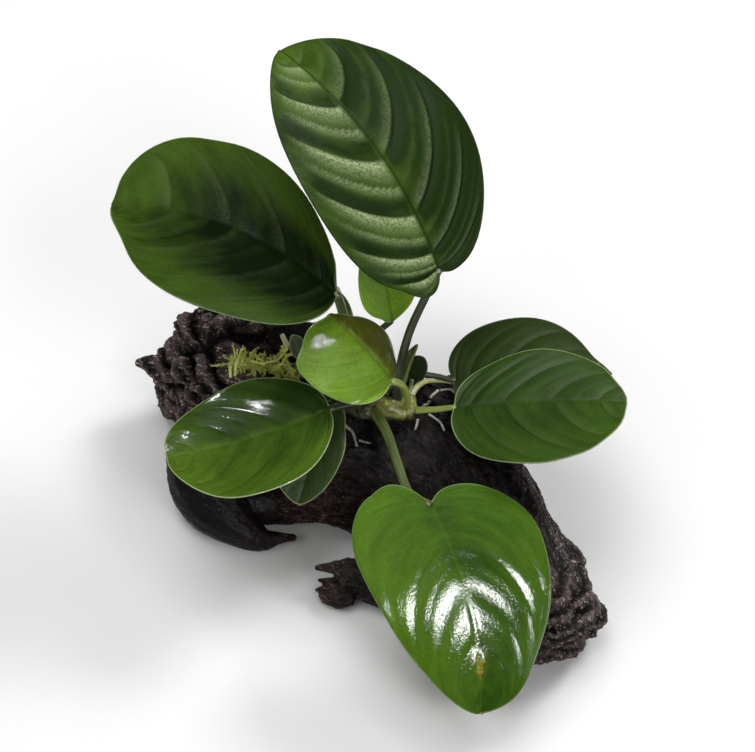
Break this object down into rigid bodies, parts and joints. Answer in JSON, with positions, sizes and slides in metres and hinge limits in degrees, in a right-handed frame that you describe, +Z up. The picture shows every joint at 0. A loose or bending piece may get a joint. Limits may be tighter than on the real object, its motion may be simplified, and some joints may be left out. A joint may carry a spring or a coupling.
{
  "type": "anubias plant on driftwood",
  "caption": "Broad-leaved aquarium plant whose creeping stem grows over the top of a bent, craggy piece of dark driftwood that rests on a flat underside.",
  "frame": {"origin": "middle of the object's footprint, on the surface that the wood rests on", "axes": "+Z up, -Y towards the side seen in the picture, +X to its right"},
  "size_m": [0.1797, 0.1902, 0.1643],
  "materials": {
    "driftwood": "wet, rough bark",
    "leaf_green": "glossy, veined",
    "young_leaf": "glossy, veined",
    "stalk_green": "satin",
    "rhizome_green": "satin",
    "root_pale": "matte",
    "moss": "matte"
  },
  "bodies": {
    "root": {"driftwood_trunk": "driftwood", "driftwood_left_branch": "driftwood", "driftwood_front_root": "driftwood", "rhizome": "rhizome_green", "leaf_top": "leaf_green", "leaf_upper_left": "leaf_green", "leaf_left": "leaf_green", "leaf_under_left": "leaf_green", "leaf_front": "leaf_green", "leaf_right": "leaf_green", "leaf_back_right": "leaf_green", "leaf_back_small": "leaf_green", "leaf_standing": "leaf_green", "leaf_spear": "leaf_green", "leaf_round_small": "leaf_green", "leaf_dull_small": "leaf_green", "leaf_young": "young_leaf", "stalk_top": "stalk_green", "stalk_upper_left": "stalk_green", "stalk_young": "stalk_green", "stalk_left": "stalk_green", "stalk_under_left": "stalk_green", "stalk_front": "stalk_green", "stalk_right": "stalk_green", "stalk_back_right": "stalk_green", "stalk_back_small": "stalk_green", "stalk_standing": "stalk_green", "stalk_spear": "stalk_green", "stalk_round_small": "stalk_green", "stalk_dull_small": "stalk_green", "young_sheath": "rhizome_green", "root_front": "root_pale", "root_front_fork": "root_pale", "root_pale_arch": "root_pale", "root_right_upper": "root_pale", "root_right_middle": "root_pale", "root_right_lower": "root_pale", "root_hanging": "root_pale", "moss_left": "moss", "moss_right": "moss"}
  },
  "joints": []
}
